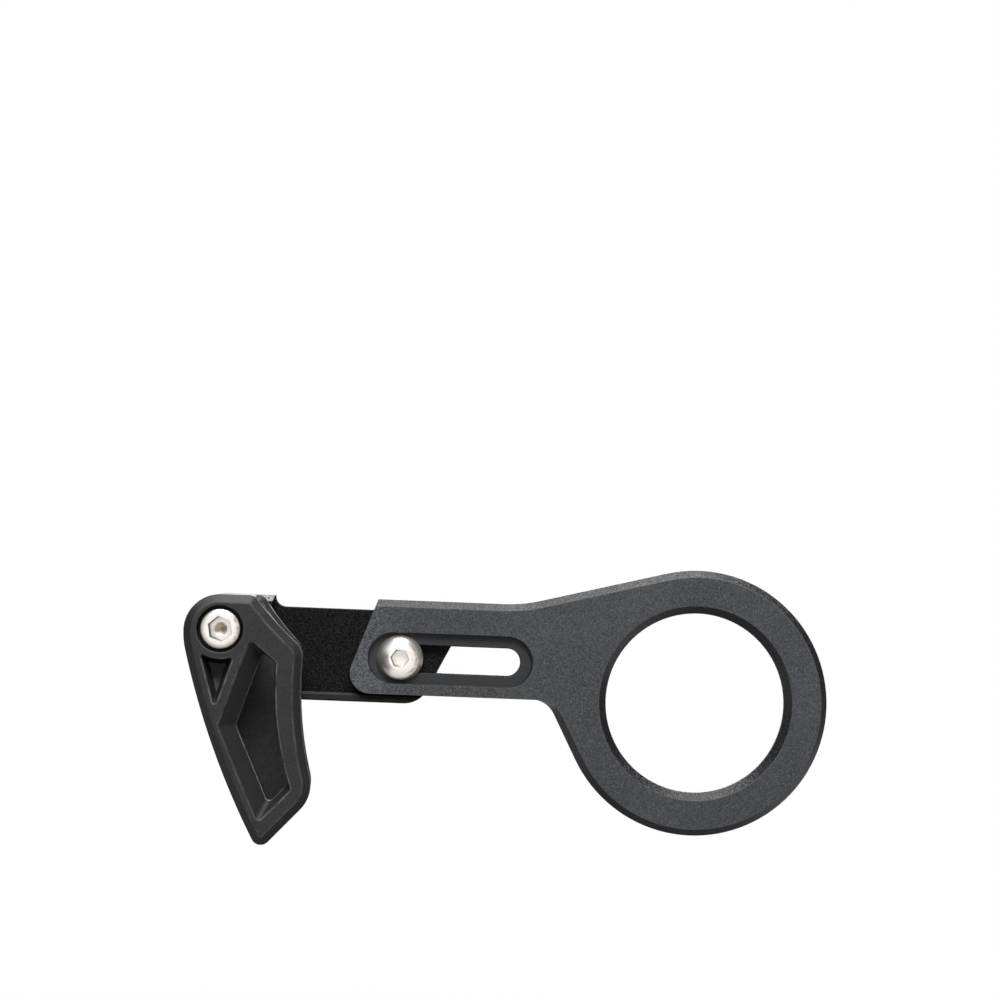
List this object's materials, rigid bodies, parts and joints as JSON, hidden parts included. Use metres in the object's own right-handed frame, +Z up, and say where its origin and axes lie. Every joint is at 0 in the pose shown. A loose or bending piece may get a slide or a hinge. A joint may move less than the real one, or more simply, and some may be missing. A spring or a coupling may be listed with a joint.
{
  "type": "bicycle chain guide",
  "caption": "Bicycle chain guide: a ring plate held by the bottom bracket and a slotted, sliding arm that carries an open cage over the chain.",
  "frame": {"origin": "bottom bracket axis, on the back face of the ring that meets the frame shell", "axes": "+X along the slot from the cage towards the bottom bracket, +Y along the bottom bracket axis towards the frame, +Z up in the picture; the outer side faces -Y"},
  "size_m": [0.1251, 0.0236, 0.055],
  "materials": {
    "fibre_nylon": "moulded, fine fibre speckle, satin",
    "black_aluminium": "bead blasted and black anodised",
    "black_nylon": "smooth moulded, satin",
    "bright_steel": "polished, bright"
  },
  "bodies": {
    "mount": {"mount_plate": "fibre_nylon"},
    "slider": {"slide_arm": "black_aluminium", "cage_outer": "black_nylon", "cage_inner": "black_nylon", "cage_screw": "bright_steel", "clamp_screw": "bright_steel"}
  },
  "joints": [
    {"name": "arm_slide", "type": "slide", "parent": "mount", "child": "slider", "axis": [1, 0, 0], "range_m": [-0.00085, 0.0198]}
  ]
}
